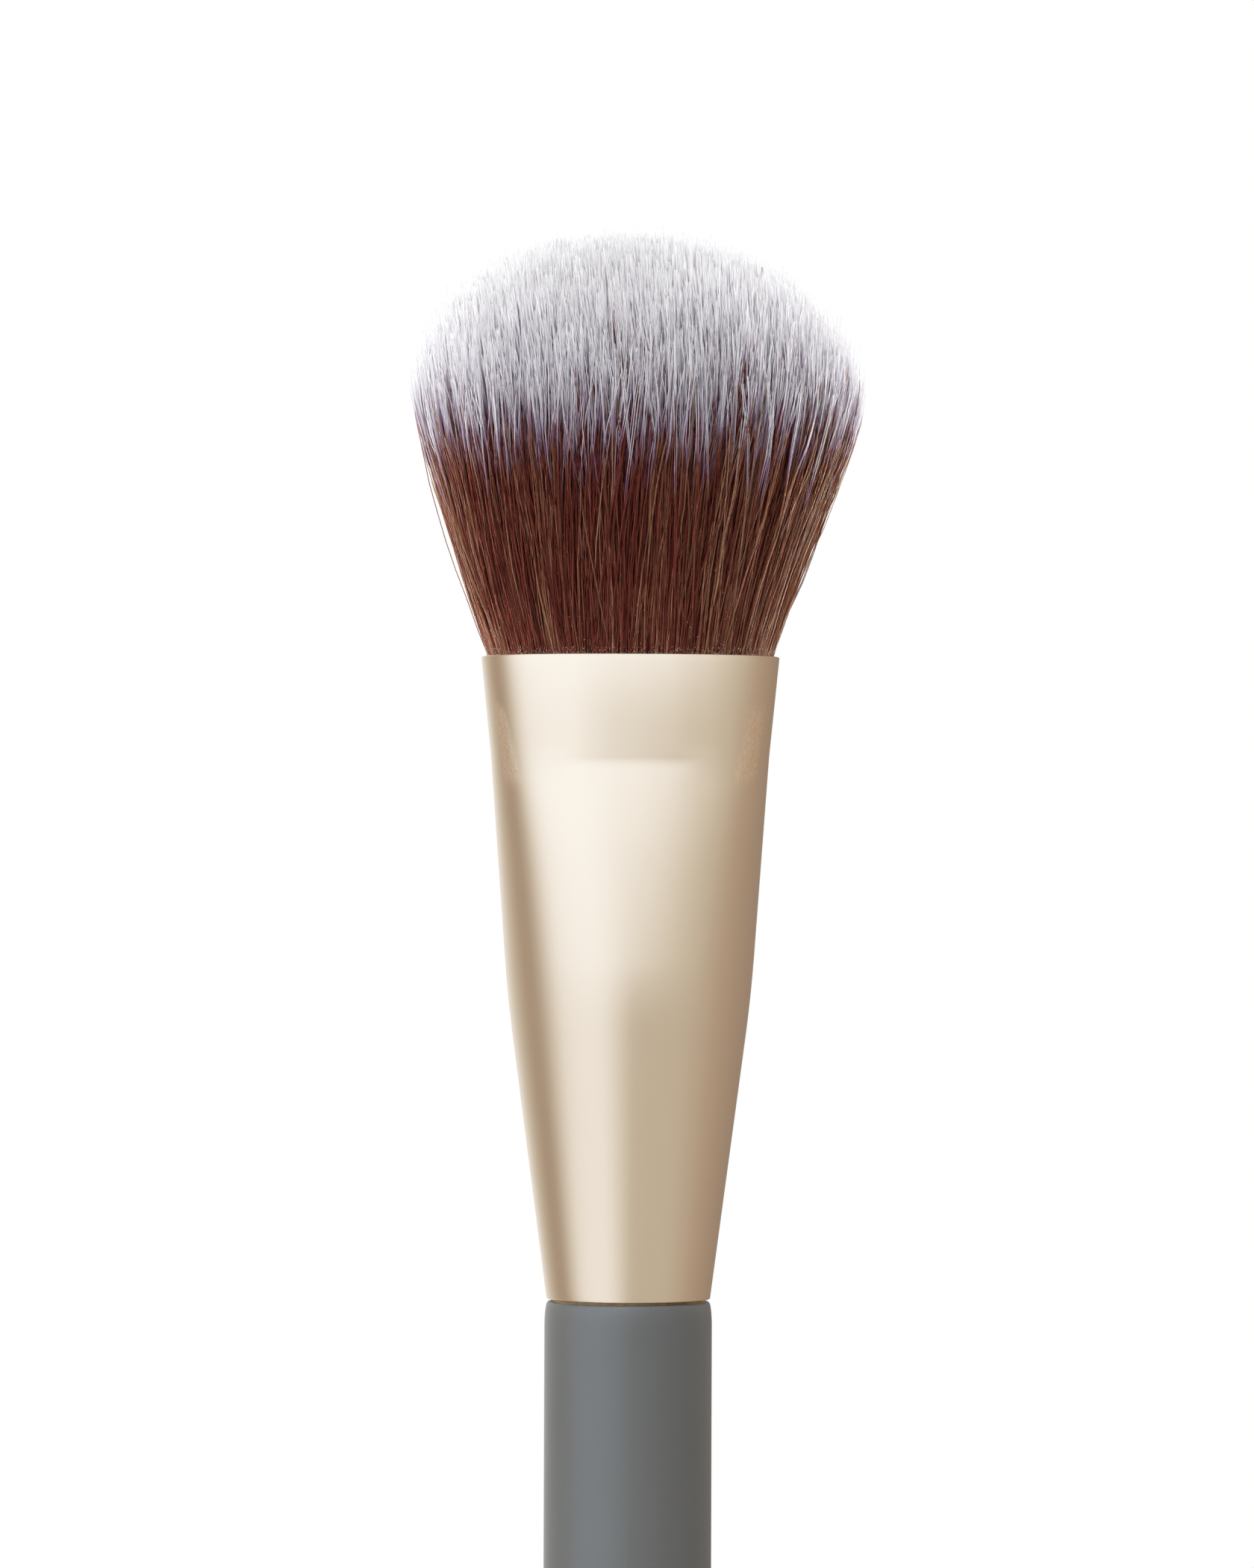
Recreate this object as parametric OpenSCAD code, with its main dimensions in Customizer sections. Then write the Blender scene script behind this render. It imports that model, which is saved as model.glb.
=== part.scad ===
// Blush brush: a dome-cut tuft of synthetic bristles in a drawn metal ferrule on a turned,
// lacquered handle. Lengths are in millimetres. Z runs along the brush with the bristles up,
// X across the wide side of the tuft and Y from front to back. The origin is on the handle's
// axis, at the lower end of its straight grip.

/* [Handle] */
// Diameter of the straight grip, lacquer included
grip_d = 12.5; // [10.5:0.1:14]
// Length from the lower end of the straight grip to the top of its shoulder
grip_len = 62; // [45:0.5:80]
// Height of the rounded shoulder at the top of the grip
shoulder_h = 1.8; // [1:0.1:3]
// How far the shoulder's top lies inside the ferrule's foot, all round
shoulder_under = 0.1; // [0.05:0.05:0.15]
// Length of the taper below the straight grip
taper_len = 32; // [20:0.5:45]
// Diameter at the lower end of the taper
tail_d = 9.4; // [7.5:0.1:10.4]
// Height of the rounded tail cap
tail_cap_h = 4.2; // [3:0.1:6]
// Thickness of the lacquer
coat_t = 0.2; // [0.1:0.05:0.3]

/* [Tenon] */
// Length of the tenon that stands in the ferrule
tenon_len = 15; // [12:0.5:18]
// Radial play between the tenon and the ferrule's foot
tenon_play = 0.15; // [0.12:0.01:0.2]
// Number of glue grooves round the tenon
groove_count = 3; // [1:1:3]
// Width of each glue groove
groove_w = 1.2; // [0.8:0.1:1.5]
// Depth of each glue groove
groove_deep = 0.4; // [0.2:0.05:0.6]
// Distance from one glue groove to the next
groove_pitch = 3.2; // [2.4:0.1:3.8]
// Chamfer on the tenon's end
tenon_chamfer = 0.8; // [0.4:0.1:1.2]

/* [Ferrule] */
// Length of the ferrule
ferrule_len = 47.9; // [44:0.1:54]
// How much smaller than the grip the ferrule's round foot is across
foot_step = 0.3; // [0.1:0.05:0.6]
// Height of the kink where the round cone ends and the flattening starts
kink_h = 22.6; // [20:0.1:25]
// Outer diameter at the kink
kink_d = 18.2; // [17:0.1:19.2]
// Outer width across the pressed band's lower edge
band_w = 20.8; // [20:0.1:21.4]
// Outer width across the mouth
mouth_w = 22.3; // [21.6:0.1:23.4]
// Outer depth of the mouth, front to back
mouth_d = 14.5; // [13.6:0.1:15.6]
// Height of the pressed band below the mouth
band_h = 7.4; // [6:0.1:9]
// Thickness of the metal
wall = 0.45; // [0.35:0.05:0.55]
// Gap between the ferrule's foot and the handle's shoulder
seat_gap = 0.2; // [0.1:0.05:0.3]

/* [Bristles] */
// Width of the tuft where it is widest
tuft_w = 34.1; // [30:0.1:37]
// Depth of the tuft where it is widest, front to back
tuft_d = 25; // [22:0.1:28]
// Length of the bristles from the mouth to the top of the dome
tuft_len = 31.7; // [28:0.1:35]
// Height of the dome above the widest place
dome_h = 13.2; // [11:0.1:15]
// Length over which the sides curve from the flare to upright
flare_soft = 7; // [4:0.5:9]
// Length of the packed roots inside the ferrule
root_len = 12; // [10:0.5:14]
// Depth below the mouth at which the bristles come apart
root_recess = 1.2; // [0.6:0.1:2]
// How much the tips fall short of the dome here and there
tip_scatter = 0.7; // [0:0.1:1.2]

/* [Glue and tie] */
// Height of the resin plug under the packed roots
plug_h = 6; // [4:0.5:8]
// Height of the thread tie round the packed roots
tie_h = 2.4; // [1.6:0.1:3]
// Thickness of the thread tie
tie_t = 0.8; // [0.5:0.05:1]
// Height of the tie's middle above the lower end of the roots
tie_up = 4; // [3:0.1:6]
// Clearance between glued pieces
glue_gap = 0.05; // [0.03:0.01:0.08]
// Height above the ferrule's foot at which the glue round the tenon starts
glue_up = 2.3; // [1.5:0.1:3]
// Height of the glue that lies over the tenon's end
glue_over = 1; // [0.6:0.1:2]

/* [Hidden] */

// Heights of the main places
foot_z = grip_len + seat_gap;
mouth_z = foot_z + ferrule_len;
root_top_z = mouth_z - root_recess;
root_bottom_z = root_top_z - root_len;
tie_z = root_bottom_z + tie_up;
plug_bottom_z = root_bottom_z - glue_gap - plug_h;
tenon_top_z = foot_z + tenon_len;

// Radii of the turned pieces
grip_r = grip_d / 2;
tail_r = tail_d / 2;
foot_r = grip_r - foot_step / 2;
shoulder_in = grip_r - foot_r + shoulder_under;
tenon_r = foot_r - wall - tenon_play;

// The turned outlines are drawn with these numbers of steps, and turned in this many
cap_steps = 10;
taper_steps = 14;
shoulder_steps = 6;
turn_steps = 96;

// The ferrule's outline: the round cone, the soft kink, the pinched stretch, the pressed band.
// The kink and the band's lower edge are rounded over these shares of the kink's and band's height.
kink_soft_share = 0.14;
band_soft_share = 0.07;
kink_soft = kink_h * kink_soft_share;
band_soft = band_h * band_soft_share;
band_z = ferrule_len - band_h;
cone_slope = (kink_d / 2 - foot_r) / kink_h;
wide_slope = (band_w - kink_d) / 2 / (band_z - kink_h);
mouth_slope = (mouth_w - band_w) / 2 / band_h;
// The front draws in slowly above the kink and fast just under the band
pinch_share = 1.5;
// Sections go from a plain oval at the kink to one with flatter sides at the band
oval_share = 2;
flat_share = 2.3;
cone_steps = 4;
kink_steps = 4;
pinch_steps = 5;
band_steps = 3;
ferrule_sides = 72;
plug_steps = 3;
tie_steps = 3;

// Bristles stand on rings of three-cornered cells that fill the packed roots from side to side.
// A bristle of the outermost ring stands at this share of the whole half width.
cell_rings = 9;
edge_share = (3 * cell_rings - 1) / (3 * cell_rings);
flare_z = tuft_len - dome_h;
// Each bristle narrows from its whole cell at the root, by way of a waist and a neck, to its tip
waist_share = 0.8;
neck_share = 0.5;
neck_up_share = 0.62;
// The step from one bristle to the next in the scatter of the tips
scatter_share = 0.618;

// Rises as x - at once past it, rounded over soft to each side
function bend(x, at, soft) =
    x < at - soft ? 0 :
    x > at + soft ? x - at :
    (x - at + soft) * (x - at + soft) / (4 * soft);

// Half width, half depth and squareness of the ferrule's outside at height h above its foot
function pinched(h) =
    h < kink_h ? 0 : h > band_z ? 1 : pow((h - kink_h) / (band_z - kink_h), pinch_share);
function half_w(h) =
    foot_r + cone_slope * h
    + (wide_slope - cone_slope) * bend(h, kink_h, kink_soft)
    + (mouth_slope - wide_slope) * bend(h, band_z, band_soft);
function half_d(h) =
    foot_r + cone_slope * (h - bend(h, kink_h, kink_soft)) - (kink_d - mouth_d) / 2 * pinched(h);
function squareness(h) = oval_share + (flat_share - oval_share) * pinched(h);

// A point at an angle on an oval of the given half width, half depth, squareness and height
function squared(value, power) = sign(value) * pow(abs(value), 2 / power);
function oval(angle, w, d, power, z) = [w * squared(cos(angle), power), d * squared(sin(angle), power), z];

// A ring of points round the ferrule at height h above its foot, drawn in by inset
function round_ferrule(h, inset, sides) = [
    for (side = [0:sides - 1])
        oval(360 * side / sides, half_w(h) - inset, half_d(h) - inset, squareness(h), foot_z + h)
];

// Faces between one ring of points and the next, seen from outside
function band_faces(low, high, sides) = [
    for (side = [0:sides - 1]) let (next = (side + 1) % sides) each [
        [low + side, high + side, high + next],
        [low + side, high + next, low + next]
    ]
];

// Closed solid through rings of points, lowest first, with flat ends
module skinned(rings) {
    sides = len(rings[0]);
    last = len(rings) - 1;
    polyhedron(
        points = [for (ring = rings, p = ring) p],
        faces = concat(
            [for (ring = [0:last - 1]) each band_faces(ring * sides, (ring + 1) * sides, sides)],
            [for (side = [1:sides - 2]) [0, side, side + 1]],
            [for (side = [1:sides - 2]) [last * sides, last * sides + side + 1, last * sides + side]]
        )
    );
}

// Closed wall through rings of points, up the outside and down the inside, back to the first
module looped(rings) {
    sides = len(rings[0]);
    count = len(rings);
    polyhedron(
        points = [for (ring = rings, p = ring) p],
        faces = [for (ring = [0:count - 1]) each band_faces(ring * sides, (ring + 1) % count * sides, sides)]
    );
}

// Drawn and pressed metal tube, round at the foot and a flat oval at the mouth
module ferrule() {
    pinch_z = kink_h + kink_soft;
    levels = concat(
        [for (i = [0:cone_steps - 1]) (kink_h - kink_soft) * i / cone_steps],
        [for (i = [0:kink_steps - 1]) kink_h - kink_soft + 2 * kink_soft * i / kink_steps],
        [for (i = [0:pinch_steps]) pinch_z + (band_z - band_soft - pinch_z) * i / pinch_steps],
        [for (i = [0:band_steps]) band_z + band_soft + (band_h - band_soft) * i / band_steps]
    );
    color([0.82, 0.74, 0.62])
    looped(concat(
        [for (h = levels) round_ferrule(h, 0, ferrule_sides)],
        [for (i = [len(levels) - 1:-1:0]) round_ferrule(levels[i], wall, ferrule_sides)]
    ));
}

// Outline of the handle from the middle of its tail to the top of its shoulder, drawn in by inset
function taper_r(share) = tail_r + (grip_r - tail_r) * (1 + cos(180 * share)) / 2;
function shoulder_r(share) = grip_r - shoulder_in * (1 - sqrt(1 - share * share));
function handle_outline(inset) = concat(
    [for (i = [0:cap_steps]) [
        (tail_r - inset) * sin(90 * i / cap_steps),
        -taper_len - (tail_cap_h - inset) * cos(90 * i / cap_steps)
    ]],
    [for (i = [taper_steps - 1:-1:0])
        [taper_r(i / taper_steps) - inset, -taper_len * i / taper_steps]],
    [for (i = [0:shoulder_steps]) [
        shoulder_r(i / shoulder_steps) - inset,
        grip_len - shoulder_h + shoulder_h * i / shoulder_steps
    ]]
);

// Outline of the tenon's glue grooves from the lowest up, standing off by gap
function groove_z(i) = foot_z + tenon_len / 2 + (i - (groove_count - 1) / 2) * groove_pitch;
function groove_outline(gap) = [for (i = [0:groove_count - 1]) each [
    [tenon_r + gap, groove_z(i) - groove_w / 2 + gap],
    [tenon_r + gap - groove_deep, groove_z(i) - groove_w / 2 + gap],
    [tenon_r + gap - groove_deep, groove_z(i) + groove_w / 2 - gap],
    [tenon_r + gap, groove_z(i) + groove_w / 2 - gap]
]];

// Turned wooden body of the handle, with the tenon that stands in the ferrule
module handle_core() {
    color([0.80, 0.66, 0.46])
    rotate_extrude($fn = turn_steps)
    polygon(concat(
        handle_outline(coat_t),
        [[tenon_r, grip_len]],
        groove_outline(0),
        [
            [tenon_r, tenon_top_z - tenon_chamfer],
            [tenon_r - tenon_chamfer, tenon_top_z],
            [0, tenon_top_z]
        ]
    ));
}

// Soft-touch lacquer over the whole of the handle that shows
module handle_coat() {
    inside = handle_outline(coat_t);
    color([0.44, 0.46, 0.47])
    rotate_extrude($fn = turn_steps)
    polygon(concat(handle_outline(0), [for (i = [len(inside) - 1:-1:0]) inside[i]]));
}

// Glue that fills the space between the tenon and the ferrule's cone, down into the grooves and
// over the tenon's end
module tenon_glue() {
    top_h = tenon_len + glue_gap + glue_over;
    color([0.90, 0.86, 0.72])
    rotate_extrude($fn = turn_steps)
    polygon(concat(
        [[tenon_r + glue_gap, foot_z + glue_up]],
        groove_outline(glue_gap),
        [
            [tenon_r + glue_gap, tenon_top_z - tenon_chamfer + glue_gap],
            [tenon_r + glue_gap - tenon_chamfer, tenon_top_z + glue_gap],
            [0, tenon_top_z + glue_gap],
            [0, foot_z + top_h],
            [foot_r + cone_slope * top_h - wall - glue_gap, foot_z + top_h],
            [foot_r + cone_slope * glue_up - wall - glue_gap, foot_z + glue_up]
        ]
    ));
}

// Resin plug that holds the lower ends of the packed roots to the ferrule's wall
module root_plug() {
    color([0.86, 0.78, 0.58])
    skinned([
        for (i = [0:plug_steps])
            round_ferrule(plug_bottom_z + plug_h * i / plug_steps - foot_z, wall + glue_gap, 6 * cell_rings)
    ]);
}

// A ring of points round the packed roots at height z, drawn in from the ferrule's wall by inset
function round_roots(z, inset) = round_ferrule(z - foot_z, wall + glue_gap + inset, 6 * cell_rings);

// Thread wound round the packed roots, in a waist that it pulls into them
module root_tie() {
    color([0.93, 0.91, 0.85])
    looped(concat(
        [for (i = [0:tie_steps]) let (turn = 180 * i / tie_steps - 90)
            round_roots(tie_z + tie_h / 2 * sin(turn), tie_t / 2 * (1 - cos(turn)))],
        [for (i = [1:-2:-1]) round_roots(tie_z + tie_h / 2 * i, tie_t)]
    ));
}

// Half width, half depth and squareness of the tuft at height z: packed to the ferrule's wall up
// to the mouth, then flared out to its widest place, and upright above that
function flared(z, root, top) =
    root + (top - root) / flare_z * (z - mouth_z - bend(z - mouth_z, flare_z, flare_soft / 2));
function packed(z, across) =
    (across ? half_w(z - foot_z) : half_d(z - foot_z)) - wall - glue_gap;
function tuft_half(z, across, widest) =
    z < mouth_z ? packed(z, across) : flared(z, packed(mouth_z, across), widest / 2 / edge_share);
function tuft_square(z) =
    flat_share + (oval_share - flat_share) * min(1, max(0, (z - mouth_z) / flare_z));
function tuft_point(p, z) =
    norm(p) * oval(
        atan2(p[1], p[0]), tuft_half(z, true, tuft_w), tuft_half(z, false, tuft_d), tuft_square(z), 0
    ) + [0, 0, z];

// The cells' corners: one in the middle, then 6 k on ring k, on a round of radius 1
function corner_id(k, j) = k == 0 ? 0 : 1 + 3 * k * (k - 1) + j % (6 * k);
corners = [
    for (k = [0:cell_rings], j = [0:max(0, 6 * k - 1)])
        k == 0 ? [0, 0] : [cos(60 * j / k), sin(60 * j / k)] * k / cell_rings
];
cells = [
    for (k = [1:cell_rings], part = [0:5], i = [0:k - 1])
        let (inner = part * (k - 1) + i, outer = part * k + i) each [
            [corner_id(k - 1, inner), corner_id(k, outer), corner_id(k, outer + 1)],
            if (i < k - 1)
                [corner_id(k - 1, inner), corner_id(k, outer + 1), corner_id(k - 1, inner + 1)]
        ]
];

// The seven points of bristle i above its cell: three at the waist, three at the neck, the tip.
// The tips lie on the dome, and a little under it by an even scatter.
function bristle(i) =
    let (
        cell = [for (id = cells[i]) corners[id]],
        middle = (cell[0] + cell[1] + cell[2]) / 3,
        out = min(1, norm(middle) / edge_share),
        short = tip_scatter * (i * scatter_share - floor(i * scatter_share)),
        tip = mouth_z + flare_z + dome_h * sqrt(1 - out * out) - short,
        waist = mouth_z + flare_z - flare_soft / 2,
        neck = waist + (tip - waist) * neck_up_share
    ) concat(
        [for (p = cell) tuft_point(middle + (p - middle) * waist_share, waist)],
        [for (p = cell) tuft_point(middle + (p - middle) * neck_share, neck)],
        [tuft_point(middle, tip)]
    );

// All the bristles and the packed roots that they grow from, as one closed skin. Points run from
// the cells' corners to the bristles, then up the roots' side, which ends at the outer corners.
module bristle_tuft() {
    rim = 6 * cell_rings;
    first = len(corners);
    root = first + 7 * len(cells);
    waist_in = tie_t + glue_gap;
    sides = [
        [root_bottom_z, 0],
        [tie_z - tie_h / 2 - tie_t, 0],
        [tie_z - tie_h / 2 - glue_gap, waist_in],
        [tie_z + tie_h / 2 + glue_gap, waist_in],
        [tie_z + tie_h / 2 + tie_t, 0]
    ];
    last = len(sides) - 1;
    color([0.45, 0.28, 0.22])
    polyhedron(
        points = concat(
            [for (p = corners) tuft_point(p, root_top_z)],
            [for (i = [0:len(cells) - 1]) each bristle(i)],
            [for (side = sides) each round_roots(side[0], side[1])]
        ),
        faces = concat(
            [for (i = [0:len(cells) - 1], n = [0:2]) let (
                m = (n + 1) % 3,
                a = cells[i][n],
                b = cells[i][m],
                waist = first + 7 * i,
                neck = waist + 3,
                tip = waist + 6
            ) each [
                [a, waist + n, waist + m],
                [a, waist + m, b],
                [waist + n, neck + n, neck + m],
                [waist + n, neck + m, waist + m],
                [neck + n, tip, neck + m]
            ]],
            [for (level = [0:last - 1])
                each band_faces(root + level * rim, root + (level + 1) * rim, rim)],
            band_faces(root + last * rim, first - rim, rim),
            [for (j = [1:rim - 2]) [root, root + j, root + j + 1]]
        )
    );
}

ferrule();
handle_core();
handle_coat();
tenon_glue();
root_plug();
root_tie();
bristle_tuft();
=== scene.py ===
"""A blush brush: a turned, lacquered handle in a drawn metal ferrule that holds a dome-cut tuft of
two-colour bristles. The brush stands upright on its tail, with its wide side to the camera."""
import math

import bpy
import numpy as np
from mathutils import Matrix, Vector


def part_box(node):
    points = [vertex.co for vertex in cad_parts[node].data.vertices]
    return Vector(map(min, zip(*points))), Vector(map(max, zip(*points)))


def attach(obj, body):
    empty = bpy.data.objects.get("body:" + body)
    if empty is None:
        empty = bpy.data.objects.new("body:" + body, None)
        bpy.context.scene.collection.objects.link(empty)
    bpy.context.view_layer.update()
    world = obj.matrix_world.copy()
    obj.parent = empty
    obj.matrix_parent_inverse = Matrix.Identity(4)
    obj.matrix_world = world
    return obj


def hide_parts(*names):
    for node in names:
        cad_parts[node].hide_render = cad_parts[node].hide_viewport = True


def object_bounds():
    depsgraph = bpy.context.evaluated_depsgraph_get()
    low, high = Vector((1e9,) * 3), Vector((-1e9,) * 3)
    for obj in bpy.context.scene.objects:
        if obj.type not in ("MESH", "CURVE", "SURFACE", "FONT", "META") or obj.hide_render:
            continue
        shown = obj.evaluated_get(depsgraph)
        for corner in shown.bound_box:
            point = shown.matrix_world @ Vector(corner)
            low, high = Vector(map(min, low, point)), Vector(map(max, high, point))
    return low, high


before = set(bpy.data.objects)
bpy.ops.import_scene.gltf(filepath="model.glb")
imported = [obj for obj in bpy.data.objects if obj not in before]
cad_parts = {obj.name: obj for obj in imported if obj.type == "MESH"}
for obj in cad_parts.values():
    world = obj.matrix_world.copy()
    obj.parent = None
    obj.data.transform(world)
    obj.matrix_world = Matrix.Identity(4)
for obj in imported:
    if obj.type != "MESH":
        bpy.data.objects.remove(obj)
cad_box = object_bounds()

# Studio
# The brush is photographed head on from a little below its head, with a long lens, on white. A
# tall softbox stands at the left, a wide one hangs overhead, and the grey walls of the room in
# front show in the metal, as does the white behind the brush.
MM = 0.001
camera_far, camera_high = 478 * MM, 89.4 * MM
camera_up, camera_aside, camera_roll = math.radians(1.344), math.radians(0.027), math.radians(0.2)
camera = bpy.data.objects.new("camera", bpy.data.cameras.new("camera"))
bpy.context.scene.collection.objects.link(camera)
bpy.context.scene.camera = camera
camera.data.lens = 146.85
camera.data.sensor_width = 36.0
camera.data.clip_start, camera.data.clip_end = 0.02, 20.0
camera.location = (0.0, -camera_far, camera_high)
camera.rotation_euler = (
    Matrix.Rotation(camera_aside, 3, "Z")
    @ Matrix.Rotation(math.pi / 2 + camera_up, 3, "X")
    @ Matrix.Rotation(camera_roll, 3, "Z")
).to_euler()


class Wire:
    """One output socket of a node tree, on which Python's operators add Math nodes."""

    def __init__(self, bench, socket):
        self.bench, self.socket = bench, socket

    def __add__(self, other):
        return self.bench.math("ADD", self, other)

    def __radd__(self, other):
        return self.bench.math("ADD", other, self)

    def __sub__(self, other):
        return self.bench.math("SUBTRACT", self, other)

    def __rsub__(self, other):
        return self.bench.math("SUBTRACT", other, self)

    def __mul__(self, other):
        return self.bench.math("MULTIPLY", self, other)

    def __rmul__(self, other):
        return self.bench.math("MULTIPLY", other, self)

    def __truediv__(self, other):
        return self.bench.math("DIVIDE", self, other)

    def __rtruediv__(self, other):
        return self.bench.math("DIVIDE", other, self)

    def __pow__(self, other):
        return self.bench.math("POWER", self, other)


class Bench:
    """Adds nodes to one node tree."""

    def __init__(self, tree):
        self.tree = tree

    def add(self, kind, settings=None, **sockets):
        """Adds a node with its settings, then the values or wires of its sockets, and gives its
        outputs by name, the first one where two have the same. In a socket's name _ stands for a
        blank, and in_3 is the fourth socket."""
        node = self.tree.nodes.new(kind)
        for name, value in (settings or {}).items():
            setattr(node, name, value)
        for name, value in sockets.items():
            if name.startswith("in_"):
                socket = node.inputs[int(name[3:])]
            else:
                name = name.replace("_", " ")
                socket = next(s for s in node.inputs if s.enabled and s.name == name)
            if isinstance(value, Wire):
                self.tree.links.new(value.socket, socket)
            else:
                socket.default_value = value
        return {s.name: Wire(self, s) for s in reversed(node.outputs) if s.enabled}

    def math(self, operation, *values):
        sockets = {f"in_{i}": v for i, v in enumerate(values)}
        return self.add("ShaderNodeMath", {"operation": operation}, **sockets)["Value"]

    def least(self, a, b):
        return self.math("MINIMUM", a, b)

    def most(self, a, b):
        return self.math("MAXIMUM", a, b)

    def size(self, a):
        return self.math("ABSOLUTE", a)

    def scaled(self, vector, scale):
        """A vector times scale along each axis."""
        node = self.add("ShaderNodeVectorMath", {"operation": "MULTIPLY"}, in_0=vector, in_1=scale)
        return node["Vector"]

    def blend(self, share, low, high, kind="MIX"):
        """Colour that goes from low to high as share goes from 0 to 1, or to low times high where
        the kind is MULTIPLY."""
        low, high = (c if isinstance(c, Wire) else (*c, 1.0) for c in (low, high))
        settings = {"data_type": "RGBA", "blend_type": kind}
        return self.add("ShaderNodeMix", settings, in_0=share, in_6=low, in_7=high)["Result"]

    def rise(self, value, low, high):
        """0 below low, 1 above high, and smooth between them."""
        settings = {"interpolation_type": "SMOOTHSTEP"}
        node = self.add("ShaderNodeMapRange", settings, Value=value, From_Min=low, From_Max=high)
        return node["Result"]


def seen_directly(bench):
    """1 for what the camera sees, also in a gloss or through a clear piece, and 0 for what only
    lights the brush."""
    ray = bench.add("ShaderNodeLightPath")
    mirrored = bench.most(ray["Is Camera Ray"], ray["Is Glossy Ray"])
    return bench.most(mirrored, ray["Is Transmission Ray"])


bpy.context.scene.view_settings.view_transform = "Standard"
world = bpy.data.worlds.new("white surroundings")
bpy.context.scene.world = world
world.use_nodes = True
world.node_tree.nodes.clear()
around = Bench(world.node_tree)
WHITE = (1.0, 1.0, 1.0, 1.0)
# the light that fills the shadows: full from behind and above, less from the front, and less
# again from the right, which is the darker side of the room
way = around.add("ShaderNodeSeparateXYZ", Vector=around.add("ShaderNodeTexCoord")["Generated"])
open_sky = around.most(around.rise(way["Y"], 0.0, 0.6), around.rise(way["Z"], 0.3, 0.9))
dim_side = 1.0 - 0.45 * around.rise(way["X"], 0.1, 0.8)
zenith = around.rise(way["Z"], 0.6, 0.95)
fill_level = (0.3 + 0.7 * open_sky) * dim_side + 0.36 * zenith
soft_fill = around.add("ShaderNodeBackground", Color=WHITE, Strength=fill_level)["Background"]
backdrop = around.add("ShaderNodeBackground", Color=WHITE, Strength=1.0)["Background"]
sky = around.add(
    "ShaderNodeMixShader", in_0=seen_directly(around), in_1=soft_fill, in_2=backdrop
)
around.add("ShaderNodeOutputWorld", Surface=sky["Shader"])


def softbox(name, azimuth, elevation, distance, width, height, level, spread=180, aim=100):
    """A rectangular lamp that faces the brush at the height aim, in millimetres. Level is how
    bright its face is, 1 being white, and spread how wide it shines, in degrees."""
    lamp = bpy.data.lights.new(name, "AREA")
    lamp.shape, lamp.size, lamp.size_y = "RECTANGLE", width, height
    lamp.energy = level * math.pi * width * height
    lamp.spread = math.radians(spread)
    made = bpy.data.objects.new(name, lamp)
    a, e = math.radians(azimuth), math.radians(elevation)
    away = Vector((math.sin(a) * math.cos(e), -math.cos(a) * math.cos(e), math.sin(e)))
    made.location = Vector((0, 0, aim * MM)) + away * distance
    made.rotation_euler = away.to_track_quat("Z", "Y").to_euler()
    made.visible_camera = made.visible_glossy = False
    bpy.context.scene.collection.objects.link(made)


softbox("left_softbox", -46, 12, distance=1.3, width=1.15, height=1.75, level=1.05)
softbox("overhead_softbox", -12, 50, distance=1.5, width=1.7, height=1.1, level=1.05)
# two narrow beams rake the sides of the tuft, and a weak one lifts the handle
near_lamp = {"distance": 0.6, "width": 0.16, "height": 0.16, "spread": 24}
softbox("left_hair_light", -112, 10, **near_lamp, level=0.75, aim=128)
softbox("right_hair_light", 112, 13, **near_lamp, level=1.0, aim=131)
softbox(
    "handle_light", -40, 25, distance=0.6, width=0.2, height=0.24, level=0.42, spread=9, aim=-45
)


def room_level(azimuth, elevation):
    """How bright the studio is in one direction from the brush, as its gloss shows it: the grey
    walls, the tall softbox at the left and the wide one overhead."""
    turns = (-152, -130, -112, -100, -60, 0, 50, 75, 90, 115, 137, 160, 172)
    walls = (0.90, 0.62, 0.44, 0.42, 0.47, 0.60, 0.63, 0.57, 0.52, 0.45, 0.40, 0.34, 0.34)
    tall = 0.62 * np.interp(azimuth, (-96, -66, -28, 2), (0, 1, 1, 0))
    wide = np.interp(azimuth, (-90, -60, 5, 30, 50, 75, 90), (0, 1, 1, 0.62, 0.3, 0.1, 0))
    raised = (-12, -5, 0, 6, 12, 20, 60)
    wide *= np.interp(elevation, raised, (0, 0.07, 0.24, 0.42, 0.58, 0.72, 0.74))
    level = np.interp(azimuth, turns, walls) + tall + wide
    brightest, knee = 1.24, 6  # where softboxes overlap the level stays under the brightest
    return level / (1 + (level / brightest) ** knee) ** (1 / knee)


def room_colour(level):
    """The walls are a warm grey, and the softboxes a cool white."""
    steps = (0.3, 0.5, 0.65, 0.86, 1.04, 1.2)
    green = level * np.interp(level, steps, (0.76, 0.81, 0.955, 1.0, 1.05, 1.10))
    blue = level * np.interp(level, steps, (0.62, 0.67, 0.86, 1.0, 1.16, 1.28))
    return (level, green, blue, 1.0)


def paint(name):
    """A material with nothing in it yet, and the bench for its nodes."""
    material = bpy.data.materials.new(name)
    material.use_nodes = True
    material.node_tree.nodes.clear()
    return material, Bench(material.node_tree)


def solid(name, points, faces, material, smooth=True):
    """A mesh object in metres, at the origin."""
    mesh = bpy.data.meshes.new(name)
    mesh.from_pydata([tuple(p) for p in points], [], [tuple(f) for f in faces])
    mesh.materials.append(material)
    mesh.polygons.foreach_set("use_smooth", [smooth] * len(mesh.polygons))
    mesh.update()
    made = bpy.data.objects.new(name, mesh)
    bpy.context.scene.collection.objects.link(made)
    return made


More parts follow.
